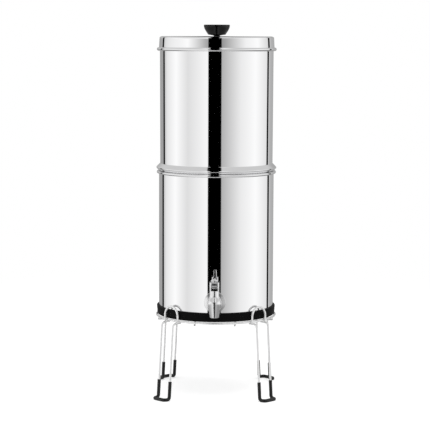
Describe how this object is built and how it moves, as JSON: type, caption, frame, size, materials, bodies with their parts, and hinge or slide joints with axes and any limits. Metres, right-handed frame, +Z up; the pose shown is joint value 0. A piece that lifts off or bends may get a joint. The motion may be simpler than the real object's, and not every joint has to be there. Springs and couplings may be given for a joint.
{
  "type": "gravity water filter with tap",
  "caption": "Round two-chamber gravity water filter of polished steel with a lift-off lid, a lever tap at the foot and a welded wire stand on rubber feet.",
  "frame": {"origin": "on the floor, under the axis of the chambers, midway between the four feet", "axes": "+Z up; the tap faces -Y; +X is to the right of someone who faces the tap"},
  "size_m": [0.228, 0.2868, 0.6929],
  "materials": {
    "polished_steel": "mirror-polished stainless sheet",
    "tap_steel": "polished and satin stainless casting",
    "stand_wire": "bright chromed wire",
    "spring_steel": "plain stainless",
    "base_rubber": "satin black moulded rubber",
    "foot_rubber": "glossy black dipped rubber",
    "seal_rubber": "matt black",
    "silicone": "translucent white silicone",
    "knob_black": "black moulded plastic, satin gloss",
    "carbon": "matt black pressed carbon",
    "black_plastic": "black moulded plastic",
    "white_plastic": "white moulded plastic"
  },
  "bodies": {
    "stand": {"stand_ring": "stand_wire", "bars_front_back": "stand_wire", "bars_side_side": "stand_wire", "leg_front_right": "stand_wire", "leg_back_right": "stand_wire", "leg_back_left": "stand_wire", "leg_front_left": "stand_wire", "arch_front_right": "stand_wire", "arch_back_right": "stand_wire", "arch_back_left": "stand_wire", "arch_front_left": "stand_wire", "foot_front_right": "foot_rubber", "foot_back_right": "foot_rubber", "foot_back_left": "foot_rubber", "foot_front_left": "foot_rubber"},
    "lower_tank": {"lower_chamber": "polished_steel", "base_ring": "base_rubber", "tap_body": "tap_steel", "tap_flange": "tap_steel", "tap_outer_washer": "seal_rubber", "tap_inner_washer": "silicone", "tap_backnut": "tap_steel", "tap_bonnet": "tap_steel", "lever_pin": "tap_steel", "return_spring": "spring_steel"},
    "upper_tank": {"upper_chamber": "polished_steel", "filter_block_left": "carbon", "filter_block_right": "carbon", "filter_cap_left": "black_plastic", "filter_cap_right": "black_plastic", "filter_seals": "silicone", "filter_wing_nuts": "white_plastic", "blanking_plugs": "black_plastic", "plug_seals": "silicone", "plug_wing_nuts": "white_plastic"},
    "lid": {"lid_shell": "polished_steel", "lid_knob": "knob_black", "knob_screw": "spring_steel", "knob_washer": "seal_rubber"},
    "lever": {"tap_lever": "tap_steel"},
    "valve": {"valve_stem": "tap_steel", "seat_cup": "silicone"}
  },
  "joints": [
    {"name": "lower_tank_lift", "type": "slide", "parent": "stand", "child": "lower_tank", "axis": [0, 0, 1], "range_m": [0, 0.06]},
    {"name": "upper_tank_lift", "type": "slide", "parent": "lower_tank", "child": "upper_tank", "axis": [0, 0, 1], "range_m": [0, 0.08]},
    {"name": "lid_lift", "type": "slide", "parent": "upper_tank", "child": "lid", "axis": [0, 0, 1], "range_m": [0, 0.06]},
    {"name": "lever_press", "type": "hinge", "parent": "lower_tank", "child": "lever", "pos_m": [0, -0.148, 0.222], "axis": [1, 0, 0], "range_deg": [0, 22], "stiffness_Nm_per_rad": 0.3, "springref_deg": -20.05},
    {"name": "valve_lift", "type": "slide", "parent": "lower_tank", "child": "valve", "axis": [0, 0, 1], "range_m": [0, 0.0025], "deforming": ["return_spring"]}
  ],
  "couplings": [
    {"joint": "valve_lift", "follows": "lever_press", "m_per_rad": 0.006}
  ]
}
